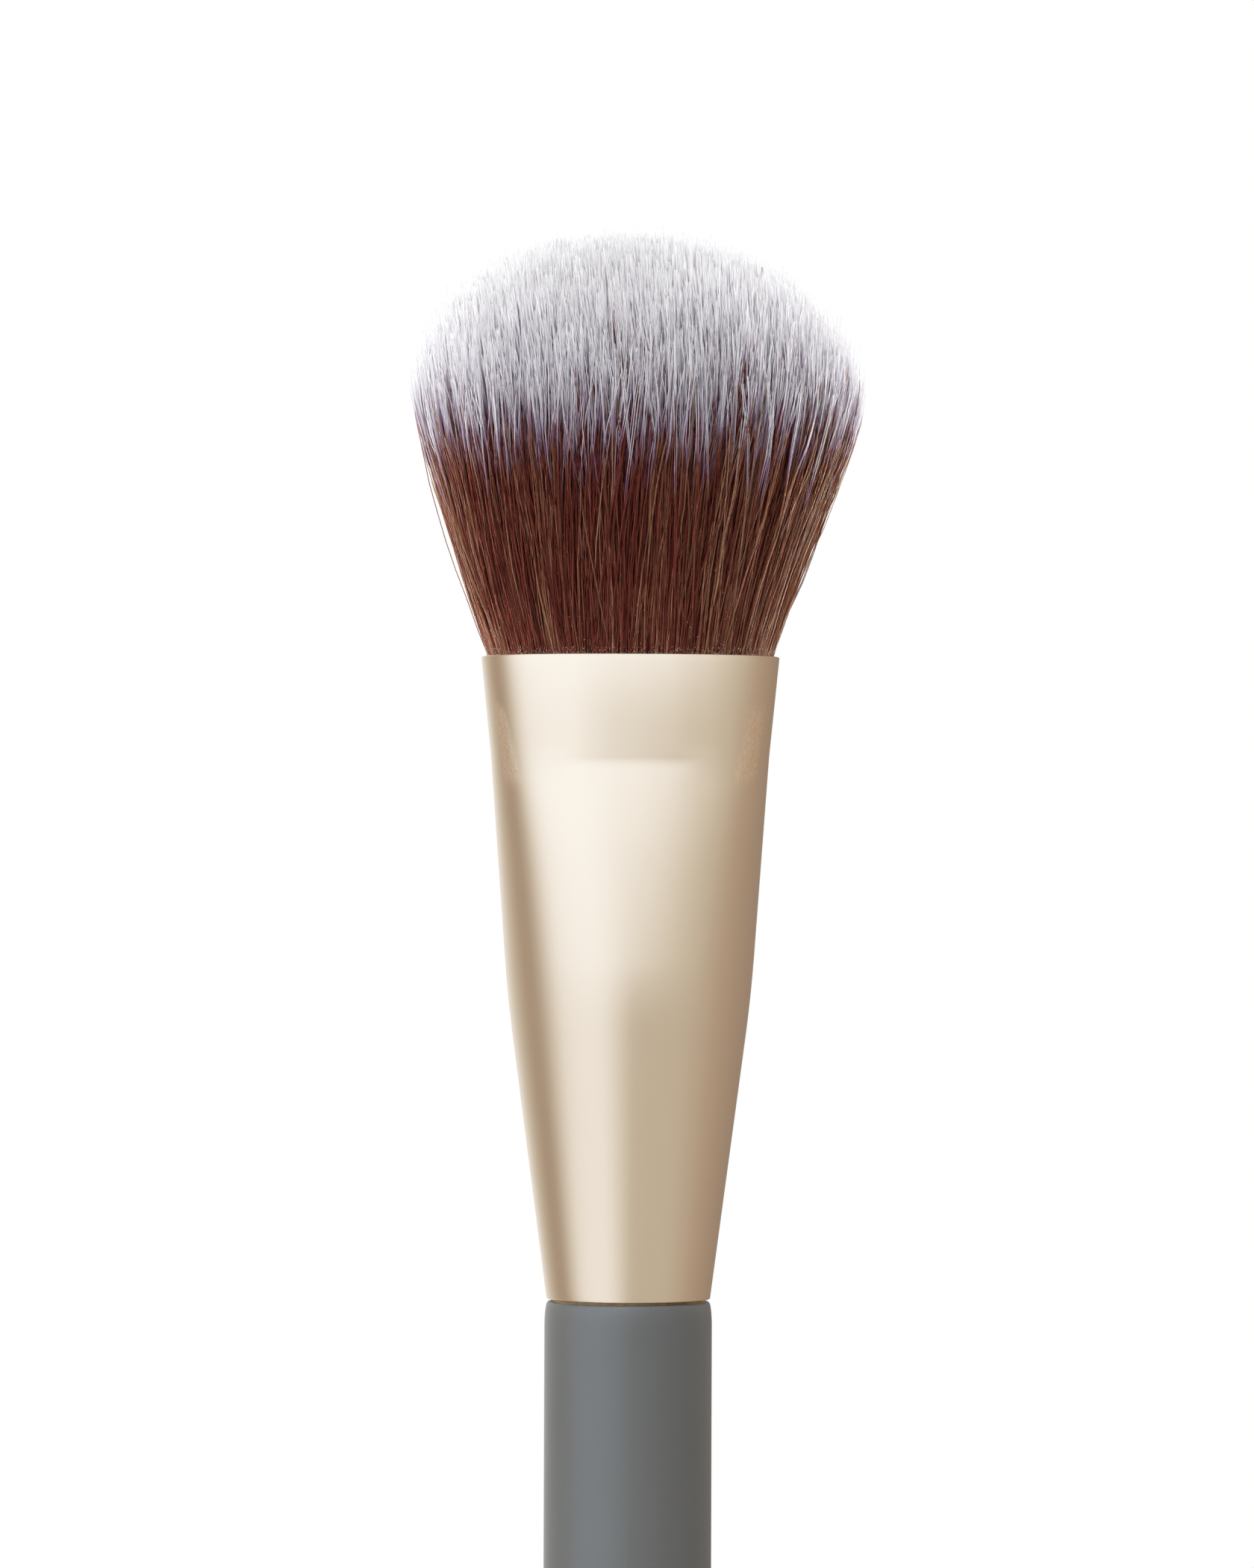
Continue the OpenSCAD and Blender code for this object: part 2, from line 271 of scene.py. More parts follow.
# the room is a shell that only a gloss sees, round the point at room_mid on the brush's axis.
# Below the brush it ends on a table top just over the floor
room_paint, bench = paint("studio_room")
level = bench.add("ShaderNodeAttribute", {"attribute_name": "level"})["Color"]
light = bench.add("ShaderNodeEmission", Color=level, Strength=1.0)["Emission"]
bench.add("ShaderNodeOutputMaterial", Surface=light)
room_r, room_mid, table_drop = 2.4, 0.1, 0.1359
turns, climbs = np.linspace(-152, 172, 163), np.linspace(-88, 70, 80)
room_points = []
for e in np.radians(climbs):
    far = min(room_r, table_drop / max(1e-3, -math.sin(e)))
    for a in np.radians(turns):
        out_x, out_y = far * math.sin(a) * math.cos(e), -far * math.cos(a) * math.cos(e)
        room_points.append((out_x, out_y, room_mid + far * math.sin(e)))
row = len(turns)
room_faces = [
    (j * row + i, j * row + i + 1, (j + 1) * row + i + 1, (j + 1) * row + i)
    for j in range(len(climbs) - 1)
    for i in range(row - 1)
]
room = solid("studio_room", room_points, room_faces, room_paint)
room_colours = room.data.color_attributes.new("level", "FLOAT_COLOR", "POINT")
room_values = [v for e in climbs for a in turns for v in room_colour(room_level(a, e))]
room_colours.data.foreach_set("color", room_values)
room.visible_camera = room.visible_diffuse = False
room.visible_shadow = room.visible_transmission = False

floor_paint, bench = paint("white_floor")
matt = bench.add("ShaderNodeBsdfDiffuse", Color=(0.66, 0.66, 0.66, 1.0))["BSDF"]
glow = bench.add("ShaderNodeEmission", Color=WHITE, Strength=0.38 * seen_directly(bench))
floor_light = bench.add("ShaderNodeAddShader", in_0=matt, in_1=glow["Emission"])["Shader"]
bench.add("ShaderNodeOutputMaterial", Surface=floor_light)
floor_z, floor_r, floor_sides = cad_box[0].z, 0.45, 96
rim = [
    (floor_r * math.cos(a), floor_r * math.sin(a), floor_z)
    for a in np.linspace(0, 2 * math.pi, floor_sides + 1)[:-1]
]
floor = solid("white_floor", rim, [range(floor_sides)], floor_paint, smooth=False)

# Handle core
# A turned birch body whose tenon stands in the ferrule, with glue grooves. The lacquer and the
# ferrule hide all of it.


def node_coat(name, material):
    """Gives a piece that comes from the CAD model its finish."""
    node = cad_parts[name]
    node.data.materials.clear()
    node.data.materials.append(material)


def place(bench, scale):
    """The point on the piece in metres, times scale along each axis."""
    return bench.scaled(bench.add("ShaderNodeTexCoord")["Object"], scale)


def noise(bench, vector, detail, roughness=0.5, scale=1.0):
    """Noise where a vector points, as the outputs Fac and Color."""
    return bench.add(
        "ShaderNodeTexNoise", Vector=vector, Scale=scale, Detail=detail, Roughness=roughness
    )


def clouds(bench, scale, detail, roughness=0.5):
    """Noise through a piece, with about scale clouds to the metre along each axis."""
    return noise(bench, place(bench, scale), detail, roughness)["Fac"]


def coat(bench, bump=None, bump_height=0.0, **sockets):
    """Ends a material in a Principled shader, with a bump of that height in metres."""
    if bump is not None:
        relief = bench.add("ShaderNodeBump", Strength=1.0, Distance=bump_height, Height=bump)
        sockets["Normal"] = relief["Normal"]
    shader = bench.add("ShaderNodeBsdfPrincipled", **sockets)["BSDF"]
    bench.add("ShaderNodeOutputMaterial", Surface=shader)


birch, bench = paint("turned_birch")
grain = clouds(bench, (1800.0, 1800.0, 60.0), 5.0, 0.6)
pores = clouds(bench, (9000.0, 9000.0, 500.0), 2.0)
figure = bench.rise(grain * 0.7 + pores * 0.3, 0.35, 0.65)
coat(
    bench,
    Base_Color=bench.blend(figure, (0.62, 0.42, 0.22), (0.80, 0.62, 0.40)),
    Roughness=0.5 + 0.2 * pores,
    bump=pores,
    bump_height=0.00003,
)
node_coat("handle_core", birch)

# Lacquered handle
# Matte grey soft-touch lacquer, dipped over the whole of the handle that shows: a rounded
# shoulder under the ferrule, a straight grip, a long taper and a rounded tail.
grip_d, grip_len, shoulder_h, shoulder_in = 12.5, 62.0, 1.8, 0.25
taper_len, tail_d, tail_cap_h, coat_t = 32.0, 9.4, 4.2, 0.2


def turned(name, outline, sides, material):
    """A lathe mesh through outline, points of radius and height in millimetres. It is closed where
    the outline starts and ends on the axis."""
    points, faces, rings = [], [], []
    for radius, height in outline:
        if radius < 1e-6:
            rings.append([len(points)] * sides)
            points.append((0, 0, height * MM))
        else:
            rings.append(list(range(len(points), len(points) + sides)))
            for i in range(sides):
                a = 2 * math.pi * i / sides
                points.append((radius * MM * math.cos(a), radius * MM * math.sin(a), height * MM))
    for low, high in zip(rings, rings[1:]):
        for i in range(sides):
            j = (i + 1) % sides
            corners = [low[i], low[j], high[j], high[i]]
            faces.append([c for n, c in enumerate(corners) if c not in corners[:n]])
    return solid(name, points, faces, material)


def handle_outline(inset, cap_steps=24, taper_steps=60, shoulder_steps=14):
    """The handle's side from the middle of its tail to its shoulder, drawn in by inset."""
    grip_r, tail_r = grip_d / 2, tail_d / 2
    outline = []
    for i in range(cap_steps + 1):
        a = math.pi / 2 * i / cap_steps
        height = -taper_len - (tail_cap_h - inset) * math.cos(a)
        outline.append(((tail_r - inset) * math.sin(a), height))
    for i in range(taper_steps - 1, -1, -1):
        eased = (1 + math.cos(math.pi * i / taper_steps)) / 2
        radius = tail_r + (grip_r - tail_r) * eased - inset
        outline.append((radius, -taper_len * i / taper_steps))
    outline += [(grip_r - inset, z) for z in np.linspace(0, grip_len - shoulder_h, 24)[1:-1]]
    for i in range(shoulder_steps + 1):
        fall = shoulder_in * (1 - math.sqrt(max(0.0, 1 - (i / shoulder_steps) ** 2)))
        height = grip_len - shoulder_h + shoulder_h * i / shoulder_steps
        outline.append((grip_r - fall - inset, height))
    return outline


lacquer, bench = paint("soft_touch_lacquer")
mottle = clouds(bench, (260.0, 260.0, 90.0), 4.0, 0.55)
fine = clouds(bench, (9000.0, 9000.0, 9000.0), 3.0, 0.6)
# specks of dust: a dot in the middle of a few of the cells
cells = bench.add("ShaderNodeTexVoronoi", Vector=place(bench, (700.0, 700.0, 700.0)), Scale=1.0)
cell_number = bench.add("ShaderNodeSeparateColor", Color=cells["Color"])["Red"]
dot = bench.math("LESS_THAN", cells["Distance"], 0.055)
dust = dot * bench.math("GREATER_THAN", cell_number, 0.93)
tone = bench.blend(mottle * 0.6 + fine * 0.4, (0.0785, 0.0828, 0.0820), (0.098, 0.1033, 0.1023))
coat(
    bench,
    Base_Color=bench.blend(dust * 0.6, tone, (0.42, 0.42, 0.41)),
    Roughness=0.31 + 0.08 * mottle,
    Specular_IOR_Level=0.85,
    bump=fine + dust * 1.5,
    bump_height=0.000006,
)
outside = handle_outline(0)
inside = handle_outline(coat_t, cap_steps=10, taper_steps=14, shoulder_steps=6)
handle = turned("lacquered_handle", outside + inside[::-1], 192, lacquer)
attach(handle, "root")
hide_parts("handle_coat")

# Tenon glue
# Cured two-part adhesive that fills the ferrule's cone round the tenon and lies in its grooves.
# It holds the handle to the ferrule, and none of it shows.
glue, bench = paint("cured_glue")
cloud = clouds(bench, (900.0, 900.0, 900.0), 3.0)
coat(
    bench,
    Base_Color=bench.blend(cloud, (0.72, 0.66, 0.46), (0.86, 0.82, 0.66)),
    Roughness=0.2 + 0.2 * cloud,
    bump=cloud,
    bump_height=0.00005,
)
node_coat("tenon_glue", glue)

# Ferrule
# A drawn aluminium tube, champagne anodised and satin. Its foot is round, and above the kink a
# tool pressed it to a flat oval, which left a crease under the band and two matt marks.
foot_z, mouth_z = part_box("ferrule")[0].z / MM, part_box("ferrule")[1].z / MM
ferrule_len = mouth_z - foot_z
foot_r, kink_h, kink_d, band_w, mouth_w, mouth_d = 6.1, 22.6, 18.2, 20.8, 22.3, 14.5
band_h, crease_h, metal_t, edge_r = 7.4, 8.1, 0.45, 0.1
kink_soft, band_soft, flat_half, flat_fade = 3.2, 0.5, 3.6, 1.8
mark_top, mark_len, mark_out = 3.4, 6.2, 9.85
ring_sides = 256


def bend(x, at, soft):
    """Rises as x - at once past it, rounded over soft to each side."""
    near = np.clip(x - at + soft, 0, 2 * soft)
    return near**2 / (4 * soft) + np.maximum(x - at - soft, 0)


def front_depth(height, crease_soft):
    """Half the ferrule's depth at its middle, by height: the cone, the soft kink, the pressed
    stretch that falls in faster and faster, the crease, and the band that leans in to the mouth."""
    crease = ferrule_len - crease_h
    into_crease, out_of_crease = crease - crease_soft, crease + crease_soft
    turns_at = (0, 19.8, 25.2, 32.7, into_crease, out_of_crease, 43, 45, ferrule_len)
    slopes = (0.1327, 0.1327, -0.04, -0.10, -0.20, 0.0, -0.01, -0.05, -0.16)
    steps = np.linspace(0, ferrule_len, 2400)
    slope = np.interp(steps, turns_at, slopes)
    climb = np.cumsum((slope[1:] + slope[:-1]) / 2 * np.diff(steps))
    return np.interp(height, steps, foot_r + np.concatenate([[0], climb]))


def ferrule_ring(height, inset):
    """Points round the ferrule at a height above its foot, drawn in by inset, in metres. The
    crease is sharp on the flat in the middle and soft towards the sides."""
    band_z = ferrule_len - band_h
    cone = (kink_d / 2 - foot_r) / kink_h
    wide = (band_w - kink_d) / 2 / (band_z - kink_h)
    flare = (mouth_w - band_w) / 2 / band_h
    half_width = foot_r + cone * height
    half_width += (wide - cone) * bend(height, kink_h, kink_soft)
    half_width += (flare - wide) * bend(height, band_z, band_soft)
    sharp, soft = front_depth(height, 0.4), front_depth(height, 1.7)
    press = min(1.0, max(0.0, (height - kink_h) / (band_z - kink_h))) ** 1.5
    power = 2.0 + 0.3 * press  # 2 is an ellipse, and more is squarer
    ring = []
    for i in range(ring_sides):
        c, s = math.cos(2 * math.pi * i / ring_sides), math.sin(2 * math.pi * i / ring_sides)
        x = math.copysign(abs(c) ** (2 / power), c) * (half_width - inset)
        flat = 1 - np.clip((abs(x) - flat_half) / flat_fade, 0, 1)
        half_depth = soft + (sharp - soft) * flat - inset
        y = math.copysign(abs(s) ** (2 / power), s) * half_depth
        ring.append((x * MM, y * MM, (foot_z + height) * MM))
    return ring


def looped(name, rings, material):
    """A closed wall through rings of points, up the outside and down the inside."""
    sides, faces = len(rings[0]), []
    for j in range(len(rings)):
        low, high = j * sides, (j + 1) % len(rings) * sides
        for i in range(sides):
            k = (i + 1) % sides
            faces.append((low + i, low + k, high + k, high + i))
    return solid(name, [p for ring in rings for p in ring], faces, material)


metal, bench = paint("champagne_aluminium")
spot = bench.add("ShaderNodeSeparateXYZ", Vector=bench.add("ShaderNodeTexCoord")["Object"])
side, high = bench.size(spot["X"]), spot["Z"]
right = bench.math("GREATER_THAN", spot["X"], 0.0)
brushed = clouds(bench, (14000.0, 14000.0, 260.0), 3.0, 0.6)
cloudy = clouds(bench, (220.0, 220.0, 110.0), 3.0)
ragged = clouds(bench, (1800.0, 1800.0, 700.0), 4.0, 0.7)
scratch_place = bench.add(
    "ShaderNodeCombineXYZ",
    X=(side - high * 0.2) * 22000.0,
    Y=spot["Y"] * 3000.0,
    Z=high * 3300.0,
)
scratch = noise(bench, scratch_place["Vector"], 3.0, 0.6)["Fac"]
# the two tool marks on the corners of the oval: short fine scratches, narrow at the top, wider
# below and further in there, and more of them at the right
down = ((mouth_z - mark_top) * MM - high) / (mark_len * MM)
off = side - (mark_out * MM - 0.00125 * down - 0.0002 * right)
mark_half = 0.0003 + 0.00032 * down + 0.00025 * right
edge = bench.size(off) / mark_half + (ragged - 0.5) + (scratch - 0.5) * 1.6
mark_start = bench.rise(down + (ragged - 0.5) * 0.3 + (scratch - 0.5) * 0.4, 0.0, 0.2)
mark_end = 1.0 - bench.rise(down + (ragged - 0.5) * 0.2 + (scratch - 0.5) * 0.3, 0.9, 1.08)
mark = (1.0 - bench.rise(edge, 0.8, 1.25)) * mark_start * mark_end
tint = bench.blend(cloudy * 0.6 + brushed * 0.4, (0.775, 0.665, 0.515), (0.82, 0.70, 0.55))
bared = bench.blend(bench.rise(scratch, 0.42, 0.62), (0.78, 0.64, 0.475), (0.98, 0.81, 0.62))
coat(
    bench,
    Base_Color=bench.blend(mark * 0.85, tint, bared),
    Metallic=1.0,
    Roughness=0.26 + 0.07 * brushed + 0.08 * mark,
    bump=brushed * 0.8 + scratch * mark * 6.0,
    bump_height=0.0000016,
)
crease_z = ferrule_len - crease_h
levels = np.concatenate(
    [
        np.linspace(edge_r, ferrule_len - edge_r, 90),
        np.linspace(kink_h - 5, kink_h + 5, 26),
        np.linspace(crease_z - 1.5, crease_z + 1.5, 40),
    ]
)
# the steps round an edge: how far each lies from the rim's end and from the wall's face
edge_steps = [
    (edge_r * (1 - math.sin(a)), edge_r * (1 - math.cos(a))) for a in np.linspace(0, math.pi / 2, 5)
][1:]
rings = [ferrule_ring(h, 0) for h in np.unique(levels.round(3))]
rings += [ferrule_ring(ferrule_len - end, face) for end, face in edge_steps]
rings += [ferrule_ring(ferrule_len - end, metal_t - face) for end, face in edge_steps[::-1]]
rings += [ferrule_ring(h, metal_t) for h in np.linspace(ferrule_len - edge_r, edge_r, 56)]
rings += [ferrule_ring(end, metal_t - face) for end, face in edge_steps]
rings += [ferrule_ring(end, face) for end, face in edge_steps[::-1]]
ferrule = looped("pressed_ferrule", rings, metal)
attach(ferrule, "root")
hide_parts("ferrule")

# Resin plug and thread tie
# Epoxy poured over the lower ends of the roots holds them to the metal, and a few turns of
# polyester thread keep the tuft together. The ferrule hides both.
epoxy, bench = paint("cured_epoxy")
cloud = clouds(bench, (700.0, 700.0, 700.0), 3.0)
coat(
    bench,
    Base_Color=bench.blend(cloud, (0.62, 0.46, 0.22), (0.78, 0.64, 0.38)),
    Roughness=0.12 + 0.15 * cloud,
    bump=cloud,
    bump_height=0.00004,
)
node_coat("root_plug", epoxy)
thread, bench = paint("wound_thread")
turns_up = bench.add(
    "ShaderNodeTexWave",
    {"bands_direction": "Z"},
    Vector=place(bench, (1.0, 1.0, 1.0)),
    Scale=800.0,
    Distortion=0.4,
)["Fac"]
coat(
    bench,
    Base_Color=bench.blend(turns_up, (0.55, 0.52, 0.44), (0.88, 0.86, 0.78)),
    Roughness=0.8,
    bump=turns_up,
    bump_height=0.00008,
)
node_coat("root_tie", thread)

# Bristles
# Crimped synthetic filaments, red-brown with white tips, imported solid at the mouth. They flare
# to the widest place and end on a dome. Thousands of them are made, in shells from the middle
# out, and those of each shell run from inside the ferrule to their own tip.
strand_total, stray_total = 31800, 420
root_gap, root_run = 0.08, 11.0
root_w, root_d = mouth_w / 2 - metal_t - root_gap, mouth_d / 2 - metal_t - root_gap
tuft_w, tuft_d, flare_h, flare_soft = 33.25, 24.3, 18.5, 4.0
dome_foot, dome_h, dome_power = 20.0, 12.2, 1.80
golden_turn = 2.39996323  # round the tuft from one strand to the next, to spread them evenly
# the dye goes by the map OFBake: along it one of the strips of brown, from dark red to golden,
# where the golden end also holds the painted side light of the outer strands, and down it how far
# the place is from the tip, in lengths of the strand's own white
strips, dye_span = 250.0, 6.0

fibre, bench = paint("two_colour_filament")
strand_map = bench.add("ShaderNodeUVMap", {"uv_map": "OFBake"})["UV"]
dyed = bench.add("ShaderNodeSeparateXYZ", Vector=strand_map)
strip_number = bench.math("FLOOR", dyed["X"] * strips)
own = bench.add("ShaderNodeTexWhiteNoise", {"noise_dimensions": "1D"}, W=strip_number)["Color"]
pick = bench.add("ShaderNodeSeparateColor", Color=own)
from_tip = (1.0 - dyed["Y"]) * dye_span
patches = bench.add(
    "ShaderNodeTexNoise",
    {"noise_dimensions": "2D"},
    Vector=bench.add("ShaderNodeCombineXYZ", X=dyed["X"] * 500.0, Y=dyed["Y"] * 42.0)["Vector"],
    Scale=1.0,
    Detail=2.0,
    Roughness=0.6,
)["Fac"]
# the strip's gold: the strand's own tone, and the painted side light of the outer strands
golden_and_side_light = bench.rise(dyed["X"] + (pick["Red"] - 0.5) * 0.15, 0.2, 1.0)
brown = bench.blend(pick["Green"], (0.106, 0.0115, 0.007), (0.184, 0.029, 0.0175))
brown = bench.blend(golden_and_side_light, brown, (0.395, 0.178, 0.086))
# painted sheen: patches along each strand drawn lighter or darker, as crimped filaments catch the
# light unevenly
painted_sheen = bench.blend(bench.rise(patches, 0.3, 0.72), (0.80, 0.79, 0.78), (1.22, 1.24, 1.22))
brown = bench.blend(1.0, brown, painted_sheen, "MULTIPLY")
rooty = bench.blend(bench.rise(from_tip, 4.6, 5.9), (1.0, 1.0, 1.0), (1.18, 1.2, 1.2))
brown = bench.blend(1.0, brown, rooty, "MULTIPLY")
violet = bench.blend(pick["Green"], (0.26, 0.085, 0.15), (0.45, 0.36, 0.52))
lilac = bench.blend(pick["Blue"], (0.70, 0.625, 0.75), (0.79, 0.72, 0.84))
shift = from_tip + (pick["Green"] - 0.5) * 0.3 + (patches - 0.5) * 0.25
dye = bench.blend(bench.rise(shift, 0.0, 0.75), (0.945, 0.93, 0.962), lilac)
dye = bench.blend(bench.rise(shift, 0.6, 1.0), dye, violet)
dye = bench.blend(bench.rise(shift, 0.95, 1.4), dye, brown)
coat(
    bench,
    Base_Color=dye,
    Roughness=0.42 + 0.1 * pick["Blue"],
    Specular_IOR_Level=0.2,
    Subsurface_Weight=0.7,
    Subsurface_Radius=(1.0, 1.0, 1.0),
    Subsurface_Scale=0.0002,
)


def new_tree(name, **inputs):
    """A Geometry Nodes tree with these inputs, the bench for its nodes, and what it is given."""
    tree = bpy.data.node_groups.new(name, "GeometryNodeTree")
    for socket, kind in inputs.items():
        tree.interface.new_socket(socket, in_out="INPUT", socket_type=f"NodeSocket{kind}")
    tree.interface.new_socket("Geometry", in_out="OUTPUT", socket_type="NodeSocketGeometry")
    bench = Bench(tree)
    return tree, bench, bench.add("NodeGroupInput")


def chance(seed, number, low=0.0, high=1.0):
    """A random value for each strand or grain, by its number."""
    settings = {"data_type": "FLOAT"}
    node = bench.add("FunctionNodeRandomValue", settings, Min=low, Max=high, ID=number, Seed=seed)
    return node["Value"]


def axis(vector):
    """The coordinates of a vector, or the three values of a noise's colour."""
    return bench.add("ShaderNodeSeparateXYZ", Vector=vector)


def squared(part, power):
    """A coordinate on the unit oval of that power, from the cosine or sine of an angle."""
    return bench.math("SIGN", part) * bench.size(part) ** (2.0 / power)


def spot_at(x, y, height):
    """A point from millimetres, with its height above the ferrule's mouth."""
    point = bench.add("ShaderNodeCombineXYZ", X=x, Y=y, Z=height + mouth_z)["Vector"]
    return bench.scaled(point, (MM, MM, MM))


def store(geometry, name, value, kind="FLOAT", domain="POINT"):
    """Keeps a value on the geometry under a name."""
    settings = {"data_type": kind, "domain": domain}
    node = bench.add(
        "GeometryNodeStoreNamedAttribute", settings, Geometry=geometry, Name=name, Value=value
    )
    return node["Geometry"]


def kept(name):
    """A number stored on the strands before."""
    settings = {"data_type": "FLOAT"}
    return bench.add("GeometryNodeInputNamedAttribute", settings, Name=name)["Attribute"]


grow, bench, given = new_tree(
    "grow_bristles", First="Int", Count="Int", Points="Int", Stray="Float", Material="Material"
)
number = bench.add("GeometryNodeInputIndex")["Index"]
per = given["Points"]
order = bench.math("FLOOR", (number + 0.5) / per)
step = number - order * per
strand = order + given["First"]
share = (strand + 0.5) / float(strand_total)
out = share**0.47  # from the middle out, a little denser at the outside
angle = strand * golden_turn + chance(3, strand, -0.02, 0.02)
cos_a, sin_a = bench.math("COSINE", angle), bench.math("SINE", angle)
# where the tip lies on the dome: most stop a little short of it, some far short, a few stand out
short = (
    2.0 * chance(5, strand) ** 1.6
    + 3.0 * chance(6, strand) ** 9.0
    + 9.0 * chance(28, strand) ** 45.0
    + chance(7, strand, -0.3, 0.0) * chance(8, strand) ** 3.0
)
tip_h = dome_foot + dome_h * (1.0 - out**dome_power) ** (1 / dome_power) - short
along = (step - 1.0) / (per - 2.0)  # 0 at the mouth, 1 at the tip, and less than 0 at the root
free = bench.most(along, 0.0)
height = bench.most(tip_h * along, 0.0) + root_run * bench.least(step - 1.0, 0.0)
# the oval at that height: squarer at the mouth, wider and rounder above
above, below = bench.most(height, 0.0), bench.least(height, 0.0)
near = bench.least(bench.most(above - (flare_h - flare_soft), 0.0), 2 * flare_soft)
bent = near * near / (4 * flare_soft) + bench.most(above - (flare_h + flare_soft), 0.0)
grown = above - bent * 0.85
half_w = root_w + (tuft_w / 2 - root_w) / flare_h * grown + 0.2 * below
half_d = root_d + (tuft_d / 2 - root_d) / flare_h * grown
power = 2.3 - 0.3 * bench.least(above / flare_h, 1.0)
# no bristle stands in the same order at its root as at its tip, so each one crosses some others
stray_turn = chance(24, strand, -1.0, 1.0) + chance(27, strand, -1.0, 1.0)
crossed = angle + (1.0 - free) * stray_turn * 0.11
out_here = bench.least(out + (1.0 - free) * chance(25, strand, -0.07, 0.07), 1.0)
x = out_here * half_w * squared(bench.math("COSINE", crossed), power)
y = out_here * half_d * squared(bench.math("SINE", crossed), power)
# locks that lean together, single strands that lean on their own, and a little crimp
home = bench.add(
    "ShaderNodeCombineXYZ",
    X=out * cos_a * (tuft_w / 2),
    Y=out * sin_a * (tuft_d / 2),
    Z=height * 0.05,
)["Vector"]
lock = axis(noise(bench, home, 2.0, 0.6, scale=0.9)["Color"])
swell = axis(noise(bench, home, 1.0, scale=0.16)["Color"])
wisp = axis(noise(bench, home, 1.0, scale=2.4)["Color"])
sway = free ** chance(18, strand, 0.6, 1.7)
loose = chance(17, strand) ** 4.0 * 1.2 + 0.4 + given["Stray"]
lean_x = (
    (lock["X"] - 0.5) * 1.7
    + (wisp["X"] - 0.5) * 0.8
    + (swell["X"] - 0.5) * 1.6
    + loose * chance(11, strand, -1.0, 1.0)
)
lean_y = (
    (lock["Y"] - 0.5) * 1.4
    + (wisp["Y"] - 0.5) * 0.8
    + (swell["Y"] - 0.5) * 1.4
    + loose * chance(13, strand, -1.0, 1.0)
)
wave = bench.math("SINE", height * chance(15, strand, 0.35, 0.8) + chance(16, strand, 0.0, 6.28))
crimp = wave * chance(19, strand, 0.04, 0.20) * free**0.5
tuft_lean = 0.45 * bench.rise(above, 3.0, 20.0) - 0.75 * bench.rise(above, 19.0, 32.0)
x, y = x + sway * lean_x + crimp, y + sway * lean_y + crimp * 0.7
# the outermost ones are combed in: past the tuft's outline a bristle keeps a fifth of its lean
reach = (bench.size(x / half_w) ** power + bench.size(y / half_d) ** power) ** (1.0 / power)
limit = 1.035 + (power - 2.0) * 0.03
combed = limit + (reach - limit) * (0.2 + 0.8 * given["Stray"])
held_in = bench.least(combed / bench.most(reach, 0.1), 1.0)
spot = spot_at(x * held_in + tuft_lean, y * held_in, height)
# how long the white is: longer in front and behind than at the sides, uneven from lock to lock,
# and here and there so short that a dark streak stands in the white
uneven = axis(noise(bench, home, 2.0, scale=0.5)["Color"])["X"]
streaky = bench.rise(0.25 * cos_a + bench.size(sin_a), 0.5, 0.95)
white_len = (
    4.2
    - 0.45 * bench.rise(cos_a, -0.35, 0.1)
    + 1.9 * bench.size(sin_a) ** 1.5
    - 0.7 * short
    + 5.5 * bench.most(0.89 - out, 0.0)
    + (uneven - 0.5) * 4.5
    + chance(21, strand, -1.5, 1.0)
    + 3.4 * chance(22, strand) ** 5.0
    - 5.0 * streaky * chance(44, strand) ** 6.0
)
tipped = bench.math("GREATER_THAN", chance(26, strand), 0.0005)  # one in 2000 has no white tip
slant = 1.04  # a strand is about this much longer than it is high
dye_place = (
    tip_h * (1.0 - along) * slant / bench.most(white_len, 0.8) / dye_span
    + 0.5 * (1.0 - tipped)
    + 0.09 * bench.rise(short, 3.2, 5.0)
    + 0.2 * bench.rise(short, 4.8, 6.2)
)
dye_place = bench.least(dye_place, 0.985)
# the radius: thinner in the outer shells, fuller above the middle, and drawn to a point
radius = 0.043 - 0.011 * bench.rise(out, 0.78, 0.92) + 0.024 * chance(31, strand) ** 2.0
fuller = 1.0 + (0.25 - 0.25 * bench.rise(out, 0.7, 0.9)) * bench.rise(free, 0.45, 0.8)
pointed = bench.least(0.55 + (1.0 - free) * 4.0, 1.0)
thick = radius * MM * fuller * pointed
# how golden the brown is: by strand and by lock, and on the outer strands a painted side light
# that makes them lighter at the sides, above all at the right
hue = axis(noise(bench, home, 3.0, scale=0.35)["Color"])["Y"]
# painted light: these terms brighten the outer strands where light from the sides falls on the tuft
right_painted_light, side_painted_light = 0.17 * bench.rise(cos_a, 0.05, 0.45), 0.18 * bench.size(cos_a) ** 6.0
painted_side_light = (0.06 + 0.05 * cos_a + right_painted_light + side_painted_light) * out**4.0
gold_and_side_light = 0.75 * chance(41, strand) ** 3.0 + (hue - 0.5) * 0.35 + painted_side_light
gold_and_side_light = bench.least(bench.most(gold_and_side_light, 0.0), 0.999)
strip = (bench.math("FLOOR", strips * gold_and_side_light) + 0.5) / strips
threads = bench.add("GeometryNodePoints", Count=given["Count"] * per, Position=spot)["Points"]
strands = bench.add(
    "GeometryNodePointsToCurves", Points=threads, Curve_Group_ID=order, Weight=step
)["Curves"]
for name, field in (("dye", dye_place), ("thick", thick), ("strip", strip)):
    strands = store(strands, name, field)
strands = bench.add(
    "GeometryNodeSetCurveTilt", Curve=strands, Tilt=chance(42, strand, 0.0, 6.28)
)["Curve"]
profile = bench.add(
    "GeometryNodeCurvePrimitiveCircle", {"mode": "RADIUS"}, Resolution=3, Radius=1.0
)["Curve"]
skin = bench.add(
    "GeometryNodeCurveToMesh",
    Curve=strands,
    Profile_Curve=profile,
    Scale=kept("thick"),
    Fill_Caps=True,
)["Mesh"]
vertex = bench.add("GeometryNodeInputIndex")["Index"]
corner = vertex - 3.0 * bench.math("FLOOR", (vertex + 0.5) / 3.0)
skin = store(skin, "corner", corner)
